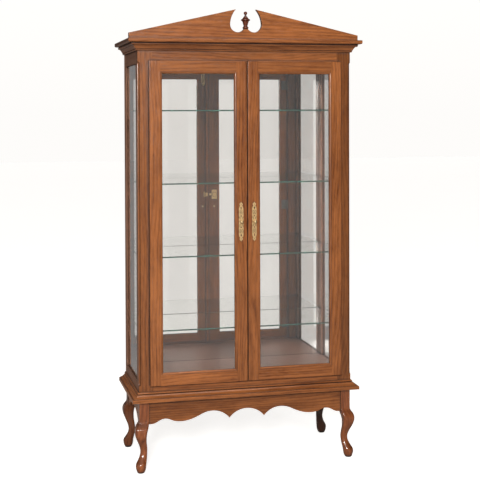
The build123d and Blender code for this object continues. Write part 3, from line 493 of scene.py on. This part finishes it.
# ---------------------------------------------------------------- metal
def metal(name, colour, tarnish_and_shade, rough, brushed=0.0):
    """Plated metal with tarnish and painted shade in its hollows, and fine wear in its shine."""
    tree = material_tree(name)
    position = tree.position()
    patch = tree.noise(position, 90.0, 4.0, 0.6)
    fine = tree.noise(tree.stretch(position, (900, 900, 160)), 1.0, 2.0)
    # Tarnish and painted shade darken the metal in its hollows and round the piercings of the
    # plates.
    unshaded_untarnished = tree.remap(tree.openness(TARNISH_AND_SHADE_REACH), 0.50, 0.99)
    worn_unshaded = tree.times(unshaded_untarnished, tree.remap(patch, 0.3, 0.7, 0.75, 1.0))
    mottled = tree.remap(patch, 0.3, 0.7, rough, rough + METAL_MOTTLE)
    return tree.finish(tree.principled(
        Base_Color=tree.mix(worn_unshaded, tinted(tarnish_and_shade), tinted(colour)),
        Metallic=1.0,
        Roughness=tree.plus(mottled, tree.times(fine, brushed)),
        Normal=tree.bump(fine, *METAL_RELIEF),
    ))


# ---------------------------------------------------------------- dressing the nodes
def dress(node, material):
    """Gives a CAD node its material."""
    slots = NODES[node].data.materials
    slots.clear()
    slots.append(material)


def is_wooden(node):
    """Whether a node is of wood: the rest is glass, mirror and metal."""
    other = ("side_glass_left", "side_glass_right", "shelf", "door_glass", "mirror",
             "hinge_plates", "hinge_cups", "pull_plate", "knob", "bolt", "lock")
    return node.endswith("glass_stops") or not any(word in node for word in other)


def grain_of(node):
    """Which way the grain of a wooden node runs."""
    if node in ("crown_moulding", "base_moulding"):
        return "mitre"
    if node.startswith("side_rail") or node == "apron_sides":
        return "Y"
    lying = ("apron_front", "apron_rear", "pediment_board", "cornice_cap", "case_floor")
    return "X" if "rail" in node or node in lying else "Z"


def stain_of(node):
    """The light and the dark stain of a wooden node, and its gloss."""
    if node.startswith(("side_", "back_panel", "apron_rear")):
        return SIDE_LIGHT, SIDE_DARK, SIDE_GLOSS
    if node == "case_floor":
        return FLOOR_LIGHT, FLOOR_DARK, FLOOR_GLOSS
    if node.startswith("leg_"):
        return LEG_LIGHT, LEG_DARK, LEG_GLOSS
    if node == "finial":
        return FINIAL_LIGHT, FINIAL_DARK, FRONT_GLOSS
    return FRONT_LIGHT, FRONT_DARK, FRONT_GLOSS


def dress_wood():
    """Every wooden node gets its own board."""
    for number, node in enumerate(filter(is_wooden, sorted(NODES))):
        light, dark, gloss = stain_of(node)
        tone = BOARD_TONES.get(node, LEAST_TONE + TONE_SPREAD * ((number * TONE_STEP) % 1.0))
        # The crown moulding and the front apron get the deeper painted shade, for the shadows
        # under the cornice cap and the base moulding.
        painted_shade = DEEP_CORNER_SHADE if node in ("crown_moulding", "apron_front") else CORNER_SHADE
        board = wood("wood_" + node, grain_of(node), light, dark, number + 1, tone, gloss, painted_shade)
        dress(node, board)


def dress_rest():
    """Glass, mirror and metal nodes."""
    pane = glass("pane_glass", PANE_TINT, PANE_SHINE)
    door_pane = glass("door_glass", PANE_TINT, DOOR_PANE_SHINE)
    shelf = glass("shelf_glass", SHELF_TINT, PANE_SHINE, SHELF_EDGE)
    plate = metal("pressed_brass", (0.72, 0.50, 0.25), (0.10, 0.04, 0.012), 0.40)
    brass = metal("lacquered_brass", (0.80, 0.60, 0.32), (0.16, 0.08, 0.03), 0.26)
    steel = metal("nickel_plate", (0.16, 0.13, 0.10), (0.10, 0.08, 0.07), 0.30, 0.08)
    for node in sorted(NODES):
        if node.startswith("glass_shelf"):
            dress(node, shelf)
        elif node.endswith("door_glass"):
            dress(node, door_pane)
        elif node in ("side_glass_left", "side_glass_right"):
            dress(node, pane)
        elif node == "mirror":
            dress(node, silvering())
        elif node in ("hinge_plates", "shelf_supports") or node.endswith("hinge_cups"):
            dress(node, steel)
        elif node.endswith("pull_plate") or node in ("lock_case", "lock_strike"):
            dress(node, plate)
        elif "knob" in node or "bolt" in node:
            dress(node, brass)


# ---------------------------------------------------------------- studio
def studio_floor():
    """Pale floor that glows to the eye, and has its own brightness in the mirror."""
    bpy.ops.mesh.primitive_plane_add(size=STUDIO_SIZE, location=(0, 0, 0))
    floor = bpy.context.object
    floor.name = "studio_floor"
    tree = material_tree("studio_floor")
    position = tree.position()
    mottle = tree.noise(position, 1.2, 2.0)
    x, y, _ = tree.split(position)
    path = tree.light_path()
    turned = tree.above(tree.turns(path), TURNED_ON_SURFACE)
    behind = tree.above(y, BEHIND_CASE)
    bounced = tree.minus(path["Is Glossy Ray"], path["Is Singular Ray"])
    bounced = tree.math("MAXIMUM", bounced, tree.above(path["Diffuse Depth"], BOUNCED))
    aside = tree.times(behind, tree.above(x, BESIDE_CASE))
    aside = tree.times(aside, tree.above(path["Transmission Depth"], TWO_PANES))
    mirrored = tree.times(path["Is Singular Ray"], tree.math("MAXIMUM", turned, aside))
    reflected = tree.mix_float(behind, MIRRORED_FRONT_GLOW, MIRRORED_BACK_GLOW)
    seen = tree.times(tree.minus(1.0, bounced), FLOOR_GLOW)
    paper = tree.mix(mottle, (0.86, 0.86, 0.86, 1), (0.90, 0.90, 0.90, 1))
    paper = tree.mix(bounced, paper, (0.30, 0.29, 0.28, 1))
    floor.data.materials.append(tree.finish(tree.principled(
        Base_Color=tree.mix(mirrored, paper, (0.0, 0.0, 0.0, 1)),
        Roughness=0.85,
        Specular_IOR_Level=0.05,
        Emission_Color=ROOM_COLOUR,
        Emission_Strength=tree.mix_float(mirrored, seen, reflected),
    )))


def surroundings():
    """White backdrop around a room that is dimmer beside and behind the case."""
    world = bpy.data.worlds.new("studio")
    bpy.context.scene.world = world
    tree = Tree(world, "ShaderNodeOutputWorld")
    direction = tree.add("ShaderNodeTexCoord").outputs["Generated"]
    x, y, z = tree.split(direction)
    toward_key = tree.add("ShaderNodeVectorMath", operation="DOT_PRODUCT")
    toward_key.inputs[1].default_value = TOWARD_KEY
    tree.put(toward_key.inputs[0], direction)
    path = tree.light_path()
    turned = tree.above(tree.turns(path), TURNED_IN_WORLD)

    # What is seen past the case, directly and through its panes.
    backdrop = tree.background(tree.remap(z, *BACKDROP_UPWARD))
    two_panes = tree.above(path["Transmission Depth"], TWO_PANES)
    dimmed = tree.times(two_panes, tree.remap(x, *DIM_PAST_PANES))
    straight = tree.background(tree.minus(1.0, dimmed))

    # What is seen in the mirror and in the panes.
    beside = tree.times(turned, tree.above(y, SIDE_STARTS))
    mirrored = tree.minus(tree.remap(x, *MIRRORED_ACROSS), tree.times(beside, SIDE_GLOOM))
    mirrored = tree.background(mirrored)

    # What shines in the lacquer and the metal, and what lights every surface.
    shine = tree.times(tree.remap(x, *SHINE_ACROSS), tree.remap(y, *SHINE_BACKWARD))
    shine = tree.background(shine)
    glow = tree.background(tree.remap(toward_key.outputs["Value"], *GLOW_TO_KEY))

    mixed = tree.mix_shader(path["Is Glossy Ray"], backdrop, shine)
    clear = tree.mix_shader(turned, straight, mirrored)
    mixed = tree.mix_shader(path["Is Singular Ray"], mixed, clear)
    tree.finish(tree.mix_shader(tree.above(path["Diffuse Depth"], BOUNCED), mixed, glow))


def lamp(name, place, target, size, power):
    """Rectangular soft lamp aimed at a point."""
    data = bpy.data.lights.new(name, "AREA")
    data.shape = "RECTANGLE"
    data.size, data.size_y = size
    data.energy = power
    data.color = LAMP_COLOUR
    thing = bpy.data.objects.new(name, data)
    thing.location = place
    thing.rotation_euler = (Vector(target) - Vector(place)).to_track_quat("-Z", "Y").to_euler()
    bpy.context.collection.objects.link(thing)


def camera():
    """Long lens, a little to the left of the case and below its cornice."""
    data = bpy.data.cameras.new("camera")
    data.sensor_width = SENSOR_MM
    data.lens = LENS_MM
    data.shift_x, data.shift_y = CAMERA_SHIFT
    data.clip_end = CLIP_END
    thing = bpy.data.objects.new("camera", data)
    x, y, z = CAMERA_PLACE
    thing.location = (x, FRONT_Y + y, z)
    thing.rotation_euler = Euler([math.radians(angle) for angle in CAMERA_TURN])
    bpy.context.collection.objects.link(thing)
    bpy.context.scene.camera = thing


dress_wood()
dress_rest()
studio_floor()
surroundings()
for lamp_name, settings in LAMPS.items():
    lamp(lamp_name, *settings)
camera()
bpy.context.scene.view_settings.view_transform = "Standard"
